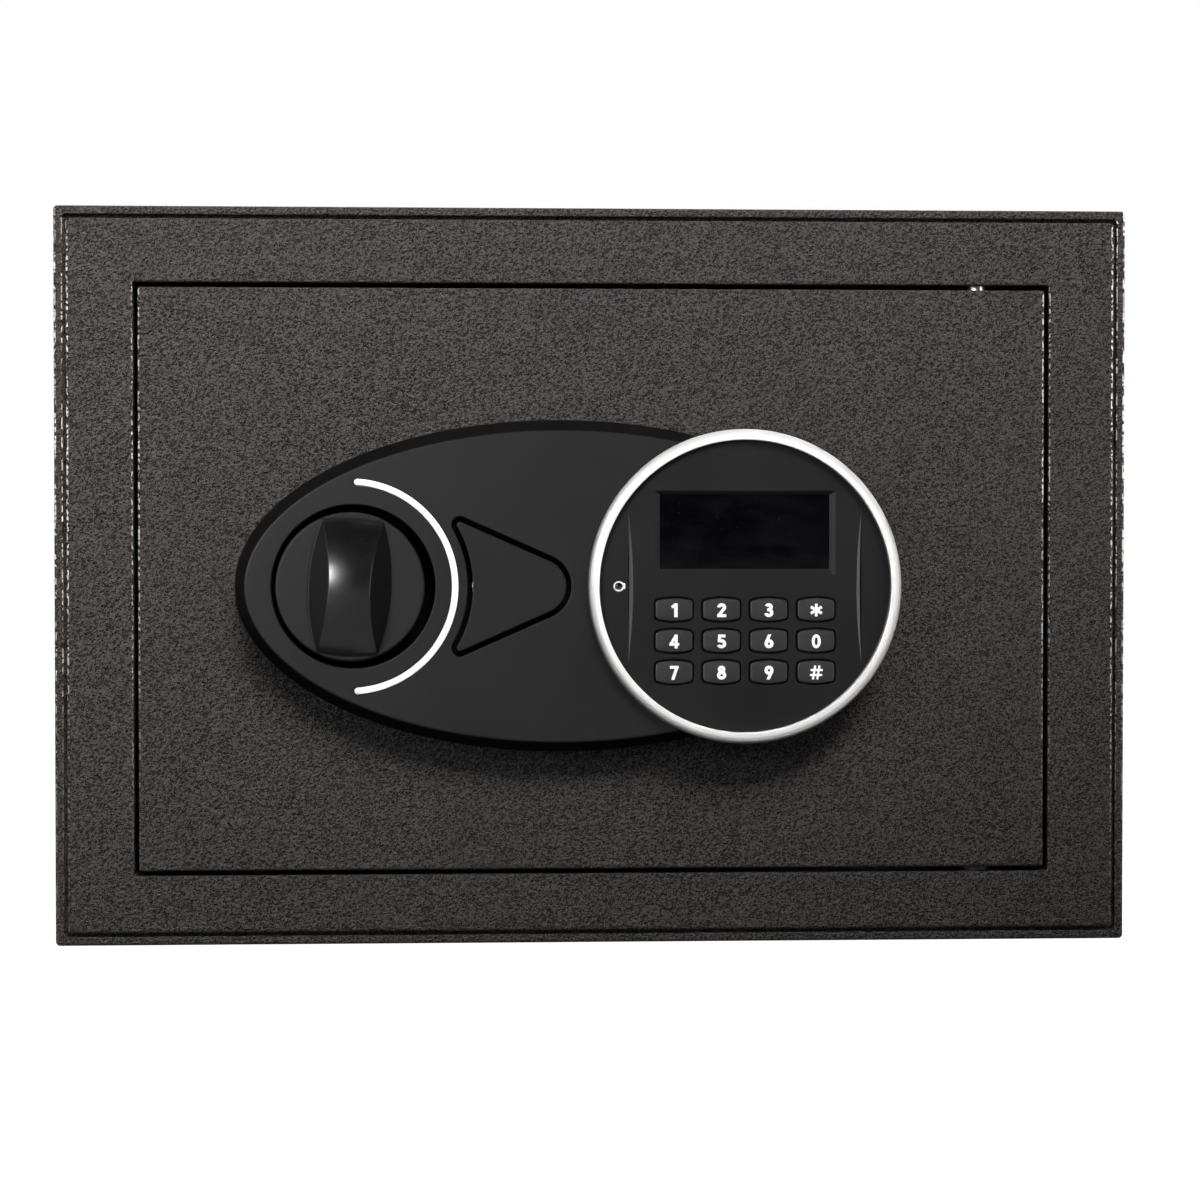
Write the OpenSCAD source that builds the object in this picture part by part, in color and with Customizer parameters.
// Recessed wall safe with an electronic lock, in millimetres.
// Frame: +Z up, +X to the right seen from the front, +Y into the wall.
// Origin: centre of the door opening, on the wall plane (the rear face of the flange).

/* [Cabinet] */
// Overall width of the wall flange
flange_w = 340; // [336:1:380]
// Overall height of the wall flange
flange_h = 233; // [230:1:270]
// Height of the flange's centre above the opening's centre
flange_dz = 1; // [0:0.5:2]
// Depth of the cabinet behind the wall plane
depth = 100; // [90:1:160]
// Sheet thickness of the cabinet
body_t = 2; // [1.5:0.5:3]
// Clearance between the opening and the inside wall of the cabinet
wall_set = 10; // [9:0.5:12]

/* [Door and frame] */
// Width of the door opening
open_w = 290.5; // [290:0.5:300]
// Height of the door opening
open_h = 187; // [186:0.5:196]
// Gap between the door and its frame, all round
gap = 1.5; // [1.25:0.05:2]
// Plate thickness of the front frame and of the door
plate_t = 3; // [2:0.5:3]
// How far the front frame plate stops short of the flange edge
frame_in = 3.9; // [3.5:0.1:6]
// Width of the folded-over hem round the flange
hem_w = 2.8; // [2:0.1:3]
// Distance of the hinge pins from the door's hinge-side edge
hinge_in = 20.6; // [18:0.1:24]
// Diameter of the hinge pins
pin_d = 5.8; // [4:0.1:6]

/* [Lock panel] */
// Height of the lock axis relative to the opening's centre
lock_z = -2; // [-10:0.5:10]
// Centre of the oval panel, across
oval_x = -11; // [-15:0.5:-5]
// Half length of the oval panel
oval_a = 102.4; // [100:0.1:106]
// Half height of the oval panel
oval_b = 52.4; // [50:0.1:56]
// Thickness of the lock panel
panel_h = 14; // [14:0.5:16]
// How far the panel's wall leans in from the door to its face
draft_w = 3.7; // [2:0.1:4.5]
// Centre of the round keypad, across
ring_x = 46.3; // [44:0.1:48]
// Outer radius of the keypad's bright ring
ring_r = 49.2; // [49:0.1:51]
// Knob axis, across
knob_x = -76.9; // [-78:0.1:-76]
// Radius of the knob's disc
knob_r = 22.9; // [18:0.1:23]
// Height of the grip above the knob's disc
grip_h = 12.5; // [8:0.5:16]
// Key pitch, across
key_px = 14.87; // [14.5:0.01:15]
// Key pitch, down
key_pz = 9.77; // [9.6:0.01:10]

/* [Bolt work] */
// Diameter of the locking bolts
bolt_d = 14; // [10:1:15]
// Throw of the locking bolts
throw = 12; // [10:0.5:12]
// Distance of each bolt from the lock axis
bolt_dz = 38; // [32:1:42]

/* [Hidden] */
$fn = 64;
run_gap = 0.05;                 // running clearance on a radius
fit_gap = 0.02;                 // clearance of parts that stay together
over = 1;                       // how far cutters pass through a face

// Levels along Y; a smaller Y is nearer the front
back_y = -2;                    // back of the frame and door plates
front_y = back_y - plate_t;     // front of both plates
panel_y = front_y - panel_h;    // front face of the lock panel
keypad_y = panel_y - 1.5;       // front face of the keypad
knob_y = panel_y - 1.5;         // front face of the knob's disc
well_y = front_y - 4;           // floor of the knob's well

// Places shared by several sections, as [x, z]
barrel_x = -29.5;
knob_at = [knob_x, lock_z];
barrel_at = [barrel_x, lock_z];
ring_at = [ring_x, lock_z];
panel_bosses = [
  [-28, lock_z + 38], [-28, lock_z - 38],
  [ring_x + 11, lock_z + 41.05], [ring_x + 11, lock_z - 41.05]];

// Radii shared by mating parts
spindle_r = 4;
spindle_bush_r = 6;
barrel_r = 8.5;
plug_r = 6;
plug_tail_r = 3;

steel_black = [0.17, 0.165, 0.16];
cover_black = [0.16, 0.16, 0.16];
plastic_black = [0.12, 0.12, 0.125];
tray_black = [0.10, 0.10, 0.10];
mat_black = [0.10, 0.10, 0.11];
washer_black = [0.08, 0.08, 0.08];
rubber_black = [0.05, 0.05, 0.05];
window_black = [0.03, 0.03, 0.035];
screw_grey = [0.25, 0.25, 0.26];
zinc = [0.72, 0.73, 0.74];
yellow_zinc = [0.75, 0.66, 0.42];
brass = [0.76, 0.60, 0.32];
plug_brass = [0.78, 0.68, 0.42];
copper = [0.55, 0.30, 0.12];
pcb_green = [0.05, 0.30, 0.14];

// --- helpers -------------------------------------------------------------
// A flat outline in X and Z, made solid from y0 to y1
module ext_y(y0, y1)
  translate([0, y1, 0]) rotate([90, 0, 0]) linear_extrude(height = y1 - y0) children();
// Cylinders along an axis; place holds the other two coordinates
module cyl_y(place, radius, y0, y1)
  translate([place[0], y0, place[1]]) rotate([-90, 0, 0]) cylinder(r = radius, h = y1 - y0);
module cyl_x(place, radius, x0, x1)
  translate([x0, place[0], place[1]]) rotate([0, 90, 0]) cylinder(r = radius, h = x1 - x0);
module cyl_z(place, radius, z0, z1)
  translate([place[0], place[1], z0]) cylinder(r = radius, h = z1 - z0);
module box(x0, x1, y0, y1, z0, z1) translate([x0, y0, z0]) cube([x1 - x0, y1 - y0, z1 - z0]);
// Stands children on level y with their Z pointing to the front
module facing_front(place, y)
  translate([place[0], y, place[1]]) rotate([90, 0, 0]) children();
module round_rect(width, height, radius) {
  square([width - 2 * radius, height], center = true);
  square([width, height - 2 * radius], center = true);
  for (sx = [-1, 1], sz = [-1, 1])
    translate([sx * (width / 2 - radius), sz * (height / 2 - radius)]) circle(r = radius);
}
function arc_points(centre, radius, start, end, steps) = [
  for (i = [0:steps]) let (angle = start + (end - start) * i / steps)
    [centre[0] + radius * cos(angle), centre[1] + radius * sin(angle)]];
// Cross-head screw pointing to the front, its head seated on seat_y
module cross_screw(place, shank_r, tip_y, seat_y) {
  head_h = 1.8;
  difference() {
    union() {
      cyl_y(place, shank_r, tip_y, seat_y + 0.5);
      cyl_y(place, 3.6, seat_y, seat_y + head_h);
    }
    for (a = [0, 90])
      translate([place[0], seat_y + head_h, place[1]]) rotate([0, a, 0])
        cube([3.6, 2, 0.8], center = true);
  }
}

// --- cabinet -------------------------------------------------------------
body_w = open_w + 2 * (wall_set + body_t);
body_h = open_h + 2 * (wall_set + body_t);
door_w = open_w - 2 * gap;
door_h = open_h - 2 * gap;
jamb_t = 3;                     // returns that line the opening
jamb_y = 8.5;                   // rear edge of the returns
hinge_x = door_w / 2 - hinge_in;
hinge_y = 2.25;
hinge_at = [hinge_x, hinge_y];  // [x, y]
pin_r = pin_d / 2;
hinge_boss_z = open_h / 2 + jamb_t;
hinge_boss_h = 5;

// Cutter on the hinge axis, centred on height z
module hinge_hole(radius, z, half) cyl_z(hinge_at, radius, z - half, z + half);

// Folded box with its edge turned out to form the wall flange
module body_shell() color(steel_black) difference() {
  union() {
    ext_y(back_y, 0) translate([0, flange_dz]) round_rect(flange_w, flange_h, 2);
    ext_y(back_y, depth - body_t) round_rect(body_w, body_h, 4);
    // hem: the sheet's edge folded over, which leaves a groove beside the front frame
    difference() {
      ext_y(2 * back_y, back_y + 0.5) translate([0, flange_dz]) round_rect(flange_w, flange_h, 2);
      ext_y(2 * back_y - over, back_y + over) translate([0, flange_dz])
        round_rect(flange_w - 2 * hem_w, flange_h - 2 * hem_w, 1);
    }
  }
  ext_y(back_y - over, depth) round_rect(body_w - 2 * body_t, body_h - 2 * body_t, 2);
  // stud holes in both sides
  for (y = [32, 77], z = [-60, 60]) {
    cyl_x([y, z], 3.5, -body_w / 2 - over, -body_w / 2 + body_t + over);
    cyl_x([y, z], 3.5, body_w / 2 - body_t - over, body_w / 2 + over);
  }
}
module back_panel() color(steel_black) difference() {
  ext_y(depth - body_t, depth) round_rect(body_w, body_h, 4);
  for (x = [-100, 100], z = [-60, 60]) cyl_y([x, z], 4.5, depth - body_t - over, depth + over);
}
// Thick front plate with the returns that line the opening
module front_frame() color(steel_black) difference() {
  union() {
    ext_y(front_y, back_y) translate([0, flange_dz])
      round_rect(flange_w - 2 * frame_in, flange_h - 2 * frame_in, 1.5);
    ext_y(front_y, jamb_y) square([open_w + 2 * jamb_t, open_h + 2 * jamb_t], center = true);
  }
  ext_y(front_y - over, jamb_y + over) square([open_w, open_h], center = true);
  for (s = [-1, 1]) hinge_hole(pin_r + fit_gap, s * (open_h / 2 + jamb_t / 2), jamb_t);
}
module hinge_bosses() color(steel_black) for (s = [-1, 1]) difference() {
  z = s * (hinge_boss_z + hinge_boss_h / 2);
  box(hinge_x - 8, hinge_x + 8, back_y, 7, z - hinge_boss_h / 2, z + hinge_boss_h / 2);
  hinge_hole(pin_r + fit_gap, z, 4);
}
module hinge_pins() color(zinc) for (s = [0, 1]) mirror([0, 0, s]) {
  head_z = hinge_boss_z + hinge_boss_h;
  cyl_z(hinge_at, pin_r, open_h / 2 - 10, head_z);
  cyl_z(hinge_at, pin_r + 1.3, head_z, head_z + 1.4);
}
module thrust_washer() color(washer_black) difference() {
  cyl_z(hinge_at, 4.6, -open_h / 2, -open_h / 2 + gap - 0.05);
  cyl_z(hinge_at, pin_r + run_gap, -open_h / 2 - over, -open_h / 2 + gap + over);
}
module floor_mat() color(mat_black) {
  floor_z = -body_h / 2 + body_t;
  box(-body_w / 2 + 7, body_w / 2 - 7, 14, depth - body_t - 2, floor_z, floor_z + 2);
}

// --- door ----------------------------------------------------------------
door_y = 7;                     // rear edge of the door's folded edges
fold_t = 2.5;                   // thickness of the folded edges
hinge_bush_r = pin_r + 1.1;
panel_screw_r = 1.45;

module door_hole(place, radius) cyl_y(place, radius, front_y - over, back_y + over);

// Thick plate with its edges folded back
module door_panel() color(steel_black) difference() {
  ext_y(front_y, door_y) round_rect(door_w, door_h, 1);
  ext_y(back_y, door_y + over) square([door_w - 2 * fold_t, door_h - 2 * fold_t], center = true);
  door_hole(knob_at, spindle_bush_r + fit_gap);
  door_hole(barrel_at, barrel_r + run_gap);
  door_hole(ring_at, 7 + fit_gap);
  for (p = panel_bosses) door_hole(p, 2.2);
  for (s = [-1, 1]) hinge_hole(hinge_bush_r + fit_gap, s * (door_h / 2 - fold_t / 2), fold_t);
}
module hinge_bushes() color(brass) for (s = [0, 1]) mirror([0, 0, s]) difference() {
  cyl_z(hinge_at, hinge_bush_r, door_h / 2 - 9, door_h / 2);
  cyl_z(hinge_at, pin_r + run_gap, door_h / 2 - 10, door_h / 2 + over);
}
module spindle_bush() color(brass) difference() {
  union() {
    cyl_y(knob_at, spindle_bush_r, well_y, back_y + 1);
    cyl_y(knob_at, 8, back_y, back_y + 2);
  }
  cyl_y(knob_at, spindle_r + run_gap, well_y - 2, back_y + 3);
}
module escutcheon_screws() color(zinc)
  for (p = panel_bosses) cross_screw(p, panel_screw_r, -13, back_y);
// Ring with a groove that takes the door plate
module cable_grommet() color(rubber_black) facing_front(ring_at, back_y) rotate_extrude()
  difference() {
    translate([3.4, -1.5]) square([5.6, plate_t + 3 - 1.52]);
    translate([7, 0]) square([3, plate_t]);
  }

// --- cover and batteries inside the door ------------------------------------
bolt_y = 16.5;                  // bolts' axis
cover_x0 = -132;
cover_x1 = 104;
cover_w = cover_x1 - cover_x0;
cover_h = 158;
cover_t = 1.5;
cover_y = 39.5;                 // rear face of the cover
cover_in_y = cover_y - cover_t;
cover_at = [(cover_x0 + cover_x1) / 2, lock_z];
post_places = [for (sx = [-1, 1], sz = [-1, 1]) cover_at + [sx * 110, sz * 70]];
reset_at = [92, 46];
battery_x = 52;
battery_at = [battery_x, lock_z];
tray_w = 56;                    // inside the tray
tray_h = 60;
tray_t = 1.5;
tray_y = 19;                    // front face of the tray
cell_y = 28;                    // cells' axes
cell_half = 24.6;               // half length of a cell's can
nub_h = 1;

// Steel box over the bolt work, on the inside of the door
module mechanism_cover() color(cover_black) difference() {
  ext_y(back_y, cover_y) translate(cover_at) round_rect(cover_w, cover_h, 3);
  ext_y(back_y - over, cover_in_y) translate(cover_at)
    round_rect(cover_w - 2 * cover_t, cover_h - 2 * cover_t, 1.5);
  for (s = [-1, 1])
    cyl_x([bolt_y, lock_z + s * bolt_dz], bolt_d / 2 + 0.1,
      cover_x0 - over, cover_x0 + cover_t + over);
  for (p = post_places) cyl_y(p, 2.1, cover_in_y - over, cover_y + over);
  ext_y(cover_in_y - over, cover_y + over) translate(battery_at)
    square([tray_w, tray_h], center = true);
  cyl_y(reset_at, 3.05, cover_in_y - over, cover_y + over);
}
module cover_posts() color(zinc) for (p = post_places) difference() {
  cyl_y(p, 4, back_y, cover_in_y);
  cyl_y(p, 1.5, cover_in_y - 12, cover_y);
}
module cover_screws() color(zinc)
  for (p = post_places) cross_screw(p, 1.48, cover_in_y - 10, cover_y);
// Battery compartment, open to the inside of the safe
module battery_tray() color(tray_black) difference() {
  union() {
    ext_y(tray_y, cover_in_y) translate(battery_at)
      round_rect(tray_w + 2 * tray_t, tray_h + 2 * tray_t, 1);
    ext_y(cover_in_y - tray_t, cover_in_y) translate(battery_at)
      round_rect(tray_w + 10, tray_h + 10, 2);
  }
  ext_y(tray_y + tray_t, cover_y) translate(battery_at) square([tray_w, tray_h], center = true);
}
function cell_z(i) = lock_z + (i - 1.5) * 14.8;
// Side of a cell's positive end; it alternates from cell to cell
function cell_end(i) = i % 2 == 0 ? 1 : -1;
module batteries() color([0.15, 0.35, 0.30]) for (i = [0:3]) {
  place = [cell_y, cell_z(i)];
  can_x = battery_x - cell_end(i) * nub_h / 2;
  nub_x = battery_x + cell_end(i) * cell_half;
  cyl_x(place, 7.1, can_x - cell_half, can_x + cell_half);
  cyl_x(place, 2.7, nub_x - nub_h / 2, nub_x + nub_h / 2);
}
module battery_contacts() color(zinc) for (i = [0:3], s = [-1, 1]) {
  strip_t = 0.5;
  bump_h = 2.1;
  z = cell_z(i);
  wall_x = battery_x + s * tray_w / 2;
  strip_x = wall_x - s * strip_t / 2;
  bump_x = wall_x - s * (strip_t + bump_h / 2);
  box(strip_x - strip_t / 2, strip_x + strip_t / 2, 22, 34, z - 5, z + 5);
  // bump for the positive end, two wire rings for the negative end
  if (s == cell_end(i)) cyl_x([cell_y, z], 3, bump_x - bump_h / 2, bump_x + bump_h / 2);
  else for (k = [0:1])
    translate([wall_x - s * (0.9 + k * 0.75), cell_y, z]) rotate([0, 90, 0])
      rotate_extrude() translate([4.2 - k * 0.9, 0]) circle(r = 0.42, $fn = 16);
}
module battery_lid() color(tray_black) {
  ext_y(cover_y, cover_y + 2.2) translate(battery_at) round_rect(tray_w + 6, tray_h + 6, 3);
  // row of thin ribs
  for (i = [-2:2])
    ext_y(cover_y + 2, cover_y + 2.9) translate([battery_x - 22 + i * 2.4, lock_z])
      round_rect(1, 22, 0.45);
}
module reset_button() color([0.60, 0.08, 0.06]) {
  cyl_y(reset_at, 2.95, cover_y - 3.3, cover_y + 1.7);
  cyl_y(reset_at, 4.2, cover_y - 3.3, cover_y - 1.7);
}
// Small board with a switch block, on two pillars
module reset_switch() color(pcb_green) {
  x = reset_at[0];
  z = reset_at[1];
  ext_y(cover_y - 10.1, cover_y - 8.5) translate(reset_at) round_rect(19, 15, 1);
  box(x - 3.5, x + 3.5, cover_y - 8.6, cover_y - 5, z - 3.5, z + 3.5);
  for (s = [-1, 1]) cyl_y(reset_at + s * [7, 4.5], 1.8, cover_y - 9, cover_in_y);
}

// --- lock panel on the outside of the door ---------------------------------
panel_t = 3;                    // thickness of the panel's face
well_at = [knob_x + 0.9, lock_z];
well_r = knob_r + 2.5;
arc_half_w = 1.05;              // half width of the bright arc

// Override cover: a rounded triangle whose left side curves round the knob.
// Its centres are [x, height above the lock axis].
tip_at = [knob_x + 58.7, 0];
tip_r = 10.2;
corner_at = [knob_x + 34.1, 19.2];
corner_r = 2.6;
tip_to_corner = corner_at - tip_at;
tangent_angle = atan2(tip_to_corner[1], tip_to_corner[0])
  - acos((tip_r - corner_r) / norm(tip_to_corner));
knob_to_corner = corner_at - [knob_x, 0];
corner_angle = atan2(knob_to_corner[1], knob_to_corner[0]);

// Outline of the panel moved in by inset along its normal
function oval(inset, count = 96) = [
  for (i = [0:count - 1])
    let (angle = 360 * i / count,
      normal = [oval_b * cos(angle), oval_a * sin(angle)],
      size = norm(normal))
    [oval_x + oval_a * cos(angle) - inset * normal[0] / size,
      lock_z + oval_b * sin(angle) - inset * normal[1] / size]];
module triangle(inset) translate([0, lock_z]) polygon(concat(
  arc_points(tip_at, tip_r - inset, -tangent_angle, tangent_angle, 20),
  arc_points(corner_at, corner_r - inset, tangent_angle, 180 + corner_angle, 14),
  arc_points([knob_x, 0], norm(knob_to_corner) - corner_r + inset,
    corner_angle - 1, -corner_angle + 1, 20),
  arc_points([corner_at[0], -corner_at[1]], corner_r - inset,
    180 - corner_angle, 360 - tangent_angle, 14)));
// Band of the bright arc round the knob, with round ends
module arc_band(half_w) {
  radius = 32.6;
  sweep = 86;
  end_x = radius * cos(sweep);
  end_z = radius * sin(sweep);
  translate(knob_at) polygon(concat(
    arc_points([0, 0], radius + half_w, -sweep, sweep, 48),
    arc_points([end_x, end_z], half_w, sweep + 15, sweep + 165, 8),
    arc_points([0, 0], radius - half_w, sweep, -sweep, 48),
    arc_points([end_x, -end_z], half_w, 195 - sweep, 345 - sweep, 8)));
}
// Places of the override cover's two pins
function cover_pin(s) = barrel_at + [-8.5, s * 12.5];

module escutcheon() color(plastic_black) difference() {
  union() {
    difference() {
      union() {
        // oval with a drafted wall all round
        facing_front([oval_x, lock_z], front_y)
          linear_extrude(height = panel_h, slices = 1,
            scale = [1 - draft_w / oval_a, 1 - draft_w / oval_b])
            translate([-oval_x, -lock_z]) polygon(oval(0));
        cyl_y(ring_at, ring_r, panel_y + 0.3, front_y);
      }
      ext_y(panel_y + panel_t, front_y + over) polygon(oval(5.5));
      cyl_y(ring_at, ring_r - 3.2, panel_y + panel_t, front_y + over);
    }
    cyl_y(well_at, well_r + 2, panel_y + 0.4, front_y);
    cyl_y(barrel_at, 12, panel_y + 2.3, front_y);
    ext_y(panel_y + 2.4, panel_y + 5.4) triangle(-1.5);
    for (p = panel_bosses) cyl_y(p, 4, panel_y + 2.2, front_y);
  }
  // well of the knob and the bore of its bush
  cyl_y(well_at, well_r, panel_y - over, well_y);
  cyl_y(knob_at, spindle_bush_r + fit_gap, well_y - over, front_y + over);
  // pocket of the override cover and the bore of the lock
  ext_y(panel_y - over, panel_y + 3.4) triangle(0);
  cyl_y(barrel_at, barrel_r + run_gap, panel_y, front_y + over);
  for (s = [-1, 1]) cyl_y(cover_pin(s), 1.6, panel_y, front_y - 7);
  ext_y(panel_y - over, panel_y + 1) arc_band(arc_half_w + fit_gap);
  // seat of the ring and opening of the keypad
  cyl_y(ring_at, ring_r + 0.05, panel_y - over, seat_y);
  cyl_y(ring_at, keypad_open_r, panel_y - 2, panel_y + 4);
  for (p = panel_bosses) cyl_y(p, panel_screw_r + fit_gap, -14, front_y + over);
}
module arc_inlay() color([0.92, 0.92, 0.92]) ext_y(panel_y - 0.3, panel_y + 1) arc_band(arc_half_w);

// --- keypad ------------------------------------------------------------------
seat_y = panel_y + 0.5;         // seat of the ring in the panel
ring_w = 3.5;
keypad_open_r = 42;
window_w = 56;
window_h = 26;
window_at = [ring_x, 15.1];
led_at = ring_at - [39.6, 0];
led_r = 1.68;
keys_at = ring_at - [0, 17.05]; // centre of the middle row of keys
groove_r = 186.5;               // arcs of the crescent grooves
groove_w = 1.65;

function key_at(column, row) = keys_at + [(column - 1.5) * key_px, (1 - row) * key_pz];
// Rectangle with arched top and bottom
module key_shape(width, height) {
  arch_r = 20;
  intersection() {
    square([width, height], center = true);
    translate([0, height / 2 - arch_r]) circle(r = arch_r, $fn = 128);
    translate([0, arch_r - height / 2]) circle(r = arch_r, $fn = 128);
  }
}
module keypad_ring() color([0.80, 0.80, 0.80]) facing_front(ring_at, seat_y)
  rotate_extrude($fn = 128) {
    translate([ring_r - ring_w, 0]) square([ring_w, 2.75]);
    translate([ring_r - ring_w / 2, 2.75]) circle(r = ring_w / 2, $fn = 32);
  }
module keypad_face() color(plastic_black) difference() {
  union() {
    cyl_y(ring_at, ring_r - ring_w - 0.05, keypad_y, seat_y);
    cyl_y(ring_at, keypad_open_r - 0.1, panel_y, keypad_y + 2.5);
  }
  // display opening, its bevel and the seat of the window
  ext_y(keypad_y - over, keypad_y + 3) translate(window_at) round_rect(53.4, 23.3, 0.5);
  ext_y(keypad_y - over, keypad_y + 0.7) translate(window_at - [0, 0.5])
    round_rect(56.8, 26.6, 0.8);
  ext_y(keypad_y + 1.5, keypad_y + 3) translate(window_at)
    square([window_w + 0.1, window_h + 0.1], center = true);
  // key openings
  for (column = [0:3], row = [0:2])
    ext_y(keypad_y - over, keypad_y + 3) translate(key_at(column, row)) key_shape(12.5, 8.15);
  cyl_y(led_at, led_r + fit_gap, keypad_y - over, keypad_y + 3);
  // two thin crescent grooves
  for (s = [-1, 1])
    ext_y(keypad_y - over, keypad_y + 0.45) translate(ring_at + [s * 36.7, 0]) intersection() {
      translate([s * (groove_r - groove_w), 0]) circle(r = groove_r, $fn = 360);
      translate([s > 0 ? -3 : 0, -26]) square([3, 52]);
    }
}
module display_window() color(window_black)
  ext_y(keypad_y + 1.5, keypad_y + 3) translate(window_at)
    square([window_w, window_h], center = true);
module lcd_module() color([0.25, 0.30, 0.25])
  ext_y(keypad_y + 3.1, keypad_y + 6.8) translate(window_at) square([52, 22], center = true);
module keypad_pcb() color(pcb_green)
  ext_y(keypad_y + 6.9, keypad_y + 8.5) translate(ring_at - [0, 1.5]) round_rect(62, 62, 2);
module key_mat() color([0.70, 0.70, 0.68])
  ext_y(keypad_y + 4.8, keypad_y + 6.9) translate(keys_at) round_rect(60, 30.8, 2);
module status_led() color([0.85, 0.85, 0.85]) difference() {
  union() {
    cyl_y(led_at, led_r, keypad_y - 0.2, keypad_y + 3);
    cyl_y(led_at, 2.2, keypad_y + 2.5, keypad_y + 5.5);
  }
  cyl_y(led_at, 1.1, keypad_y - over, keypad_y + 1.5);
}
module key_cap(column, row) color(plastic_black) {
  ext_y(keypad_y - 0.9, keypad_y + 3) translate(key_at(column, row)) key_shape(11.9, 7.5);
  ext_y(keypad_y + 2.6, keypad_y + 3.7) translate(key_at(column, row)) key_shape(13.6, 9.2);
}
module key_1() key_cap(0, 0);
module key_2() key_cap(1, 0);
module key_3() key_cap(2, 0);
module key_star() key_cap(3, 0);
module key_4() key_cap(0, 1);
module key_5() key_cap(1, 1);
module key_6() key_cap(2, 1);
module key_0() key_cap(3, 1);
module key_7() key_cap(0, 2);
module key_8() key_cap(1, 2);
module key_9() key_cap(2, 2);
module key_hash() key_cap(3, 2);

// --- override lock under the triangular cover --------------------------------
module override_cover() color(plastic_black) {
  ext_y(panel_y - 0.2, panel_y + 2) triangle(1.3);
  for (s = [-1, 1]) cyl_y(cover_pin(s), 1.5, panel_y + 1.5, panel_y + 5);
}
module lock_barrel() color(zinc) difference() {
  union() {
    cyl_y(barrel_at, barrel_r + 1, panel_y + 2.4, panel_y + 3.4);
    cyl_y(barrel_at, barrel_r, panel_y + 3, 6.5);
  }
  cyl_y(barrel_at, plug_r + run_gap, panel_y, 8);
}
module lock_nut() color(zinc) difference() {
  cyl_y(barrel_at, 12.5, back_y, back_y + 4, $fn = 6);
  cyl_y(barrel_at, barrel_r + fit_gap, back_y - over, back_y + 5);
}
module lock_plug() color(plug_brass) difference() {
  union() {
    cyl_y(barrel_at, plug_r, panel_y + 2.4, 7);
    cyl_y(barrel_at, plug_tail_r, 6.5, 10.5);
  }
  // keyway
  box(barrel_x - 0.8, barrel_x + 0.8, panel_y, panel_y + 12, lock_z - 4, lock_z + 4);
}
// Arm hanging from the plug's tail
module lock_cam() color(zinc) {
  y0 = 7.2;
  y1 = 9.2;
  arm_r = 3.5;
  arm_z = lock_z - 14;
  difference() {
    union() {
      cyl_y(barrel_at, 6, y0, y1);
      box(barrel_x - arm_r, barrel_x + arm_r, y0, y1, arm_z, lock_z);
      cyl_y([barrel_x, arm_z], arm_r, y0, y1);
    }
    cyl_y(barrel_at, plug_tail_r + fit_gap, 6, 11);
  }
}

// --- knob and bolt work -----------------------------------------------------
grip_w = 19.6;
waist_half = 6.3;               // half width of the grip at its middle
waist_r = 75;
arch_r = 24.8;                  // arch of the grip
crank = throw / sqrt(2);        // crank radius: 90 degrees of knob move the bolts by the throw
crank_at = knob_at + crank * [sin(45), cos(45)];
tab_x = -116;                   // left face of the carrier's bolt flange
carrier_y = 9;
carrier_t = 3;
carrier_back_y = carrier_y + carrier_t;
carrier_half = 48;              // half height of the carrier
stud_r = 3;
stud_places = [[-96, lock_z + 26], [-96, lock_z - 26], [-60, lock_z - 18]];
bolt_tip = -(door_w / 2 - 3);
bolt_screw_r = 2.5;
solenoid_x = -60;
solenoid_y = 10.5;
solenoid_at = [solenoid_x, solenoid_y]; // [x, y]
solenoid_t = 1.5;               // sheet of the solenoid's frame
solenoid_z0 = lock_z + 42;
solenoid_z1 = lock_z + 70.5;
plunger_bore_r = 3.6;
collar_z = lock_z + 37;         // top of the plunger's collar

function bolt_at(s) = [bolt_y, lock_z + s * bolt_dz]; // [y, z]
// Disc with an arched finger grip across it, narrower at the middle
module knob_grip() color(plastic_black) difference() {
  union() {
    cyl_y(knob_at, knob_r, knob_y, front_y - 4.4);
    intersection() {
      ext_y(knob_y - grip_h, panel_y) translate(knob_at) difference() {
        intersection() {
          square([grip_w, 2 * knob_r], center = true);
          circle(r = knob_r);
        }
        for (s = [-1, 1])
          translate([s * (waist_half + waist_r), 0]) circle(r = waist_r, $fn = 180);
      }
      cyl_x([knob_y - grip_h + arch_r, lock_z], arch_r, knob_x - 12, knob_x + 12, $fn = 128);
    }
  }
  cyl_y(knob_at, spindle_r + fit_gap, -17.5, front_y);
}
// Rod with a groove for its clip
module spindle() color(zinc) difference() {
  cyl_y(knob_at, spindle_r, -17, 8);
  difference() {
    cyl_y(knob_at, 5, 0.15, 1.25);
    cyl_y(knob_at, 3.2, 0, 2);
  }
}
module spindle_clip() color(zinc) difference() {
  cyl_y(knob_at, 7, 0.2, 1.2);
  cyl_y(knob_at, 3.2 + fit_gap, 0, 2);
  box(knob_x - 2.6, knob_x + 2.6, 0, 2, lock_z - 8, lock_z);
}
module drive_cam() color(zinc) difference() {
  union() {
    cyl_y(knob_at, 8, 1.4, 5.5);
    cyl_y(knob_at, 13, 5, 8);
    cyl_y(crank_at, 3, 7.5, 12.8);
  }
  cyl_y(knob_at, spindle_r + fit_gap, 1, 8.1);
}
module guide_studs() color(zinc) for (p = stud_places) {
  cyl_y(p, stud_r, back_y, 13);
  cyl_y(p, 5.5, 12.3, 14.3);
}
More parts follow.
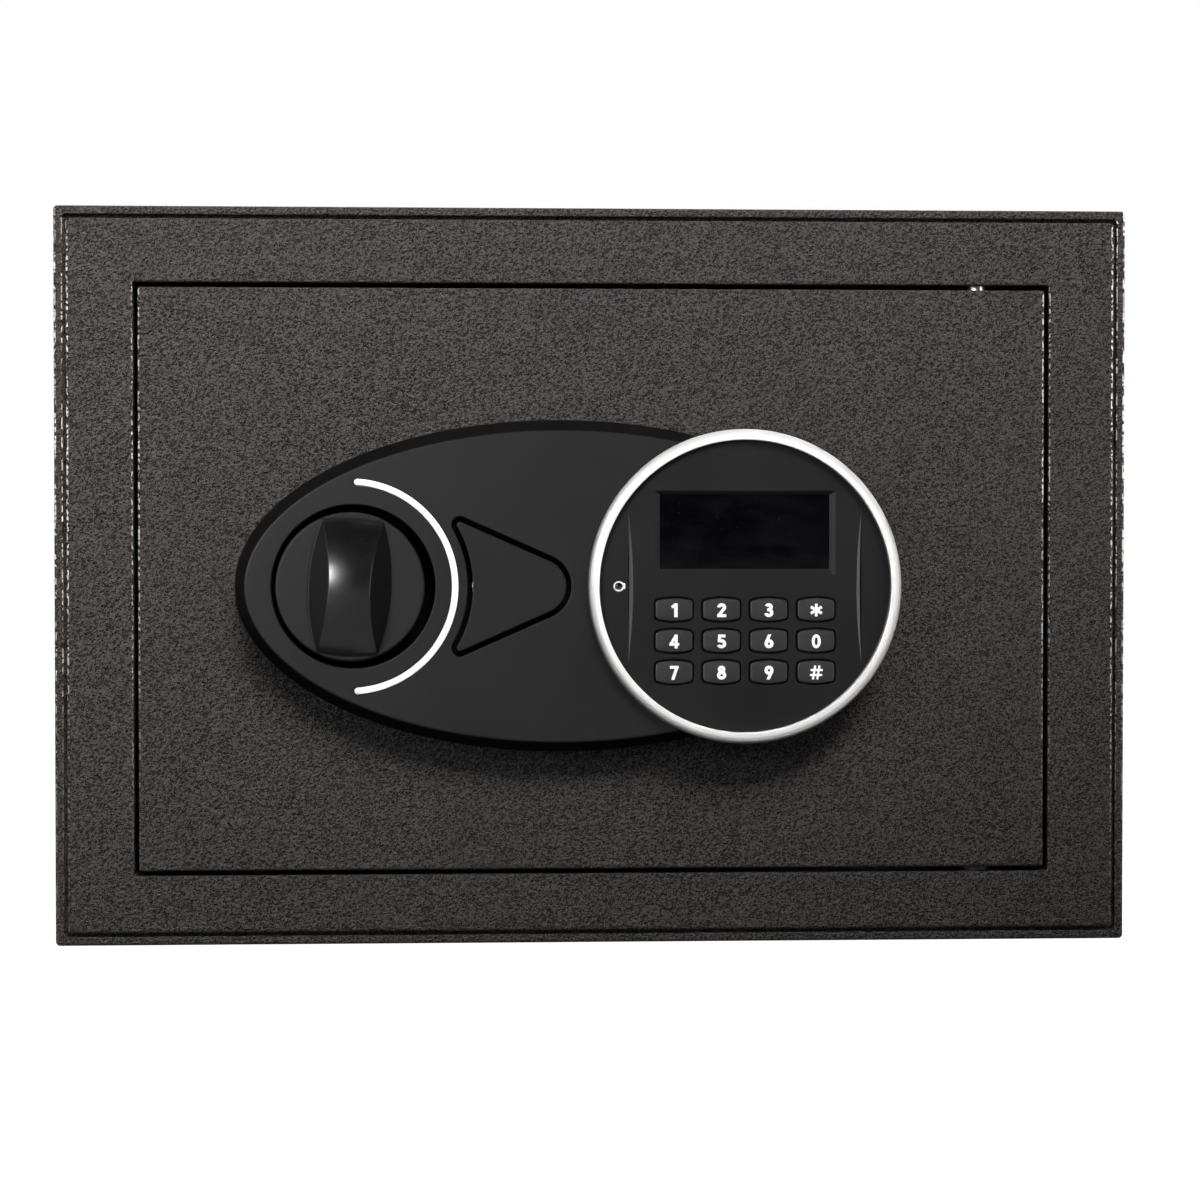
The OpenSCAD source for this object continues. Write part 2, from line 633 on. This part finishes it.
// Slot that runs right from place, with round ends
module slot_x(place, travel, radius) {
  translate(place - [0, radius]) square([travel, 2 * radius]);
  translate(place) circle(r = radius);
  translate(place + [travel, 0]) circle(r = radius);
}
module bolt_carrier() color(yellow_zinc) difference() {
  stop_x = solenoid_x + 4.1;
  union() {
    ext_y(carrier_y, carrier_back_y) translate([tab_x, lock_z - carrier_half])
      square([38, 2 * carrier_half]);
    ext_y(carrier_y, carrier_back_y) translate([-80, lock_z - 26]) square([40, 50]);
    box(tab_x, tab_x + carrier_t, carrier_y, 23.5, lock_z - carrier_half, lock_z + carrier_half);
    // stop tab beside the solenoid's plunger
    box(stop_x, stop_x + 3, carrier_y, carrier_back_y, lock_z + 22, lock_z + 30);
  }
  for (p = stud_places)
    ext_y(carrier_y - over, carrier_back_y + over) slot_x(p, throw, stud_r + 0.1);
  // slot of the crank pin
  ext_y(carrier_y - over, carrier_back_y + over) translate([crank_at[0], lock_z + 7.25])
    round_rect(6.7, 9.9, 2);
  for (s = [-1, 1]) cyl_x(bolt_at(s), bolt_screw_r + fit_gap, tab_x - over, tab_x + 4);
}
module locking_bolts() color(zinc) for (s = [-1, 1]) difference() {
  chamfer = 1.5;
  union() {
    cyl_x(bolt_at(s), bolt_d / 2, bolt_tip + chamfer, tab_x);
    translate([bolt_tip, bolt_y, bolt_at(s)[1]]) rotate([0, 90, 0])
      cylinder(r1 = bolt_d / 2 - chamfer, r2 = bolt_d / 2, h = chamfer);
  }
  cyl_x(bolt_at(s), bolt_screw_r + fit_gap, tab_x - 12, tab_x + over);
}
// Hex-socket screws that hold the bolts to the carrier
module bolt_screws() color(screw_grey) for (s = [-1, 1]) difference() {
  union() {
    cyl_x(bolt_at(s), bolt_screw_r, tab_x - 11, tab_x + 3.5);
    cyl_x(bolt_at(s), 4, tab_x + carrier_t, tab_x + 6.5);
  }
  cyl_x(bolt_at(s), 2.1, tab_x + 5, tab_x + 8, $fn = 6);
}
module solenoid_frame() color(zinc) difference() {
  x0 = solenoid_x - 11;
  x1 = solenoid_x + 11;
  union() {
    box(x0, x1, back_y, back_y + solenoid_t, solenoid_z0, solenoid_z1);
    for (z = [solenoid_z0, solenoid_z1 - solenoid_t])
      box(x0, x1, back_y, 19.5, z, z + solenoid_t);
  }
  cyl_z(solenoid_at, plunger_bore_r, solenoid_z0 - over, solenoid_z0 + 2);
}
module solenoid_coil() color(copper) difference() {
  cyl_z(solenoid_at, 8.4, solenoid_z0 + solenoid_t, solenoid_z1 - solenoid_t);
  cyl_z(solenoid_at, plunger_bore_r, solenoid_z0 + 1, lock_z + 65);
}
module solenoid_plunger() color(zinc) {
  cyl_z(solenoid_at, plunger_bore_r - 0.1, lock_z + 30.8, lock_z + 64);
  cyl_z(solenoid_at, 5.5, collar_z - 1.4, collar_z);
}

// Compression spring between the plunger's collar and the frame, as a swept wire
spring_r = 4.6;
wire_r = 0.35;
spring_steps = 4 * 16;          // turns times steps per turn
wire_sides = 6;
spring_end = wire_r + 0.05;     // wire's centre from either seat
function spring_centre(i) = let (angle = 360 * i / 16) [
  spring_r * cos(angle), spring_r * sin(angle),
  collar_z + spring_end + (solenoid_z0 - collar_z - 2 * spring_end) * i / spring_steps];
function spring_point(i, j) =
  let (centre = spring_centre(i),
    angle = 360 * j / wire_sides,
    outward = [centre[0], centre[1], 0] / spring_r)
  centre + wire_r * (cos(angle) * outward + [0, 0, sin(angle)]);
// Index of a point on ring i of the wire; j wraps round
function wire_index(i, j) = i * wire_sides + j % wire_sides;
module plunger_spring() color(zinc) translate([solenoid_x, solenoid_y, 0])
  polyhedron(
    points = [for (i = [0:spring_steps], j = [0:wire_sides - 1]) spring_point(i, j)],
    faces = concat(
      [[for (j = [0:wire_sides - 1]) j]],
      [for (i = [0:spring_steps - 1], j = [0:wire_sides - 1])
        [wire_index(i, j), wire_index(i + 1, j), wire_index(i, j + 1)]],
      [for (i = [0:spring_steps - 1], j = [0:wire_sides - 1])
        [wire_index(i + 1, j), wire_index(i + 1, j + 1), wire_index(i, j + 1)]],
      [[for (j = [wire_sides - 1:-1:0]) wire_index(spring_steps, j)]]),
    convexity = 10);

// Cable through the grommet, and a thinner branch to the solenoid
module wire_harness() color([0.55, 0.10, 0.08]) {
  branch_r = 1.4;
  path = [[ring_x, 5, lock_z], [20, 5, 20], [-20, 5, 60], [-42, 5, 66],
    [-46, solenoid_y, 58], [-51.6, solenoid_y, 58]];
  cyl_y(ring_at, 2, front_y - 6.9, tray_y);
  for (i = [0:4]) let (run = path[i + 1] - path[i], length = norm(run)) {
    translate(path[i]) rotate([0, acos(run[2] / length), atan2(run[1], run[0])])
      cylinder(r = branch_r, h = length, $fn = 24);
    if (i > 0) translate(path[i]) sphere(r = branch_r, $fn = 24);
  }
}

body_shell();
back_panel();
front_frame();
hinge_bosses();
hinge_pins();
thrust_washer();
floor_mat();
door_panel();
hinge_bushes();
mechanism_cover();
cover_posts();
cover_screws();
battery_tray();
batteries();
battery_contacts();
spindle_bush();
guide_studs();
escutcheon_screws();
cable_grommet();
wire_harness();
escutcheon();
arc_inlay();
keypad_ring();
keypad_face();
display_window();
lcd_module();
keypad_pcb();
key_mat();
status_led();
key_1();
key_2();
key_3();
key_star();
key_4();
key_5();
key_6();
key_0();
key_7();
key_8();
key_9();
key_hash();
override_cover();
lock_barrel();
lock_nut();
lock_plug();
lock_cam();
knob_grip();
spindle();
spindle_clip();
drive_cam();
bolt_carrier();
locking_bolts();
bolt_screws();
solenoid_frame();
solenoid_coil();
solenoid_plunger();
plunger_spring();
battery_lid();
reset_button();
reset_switch();
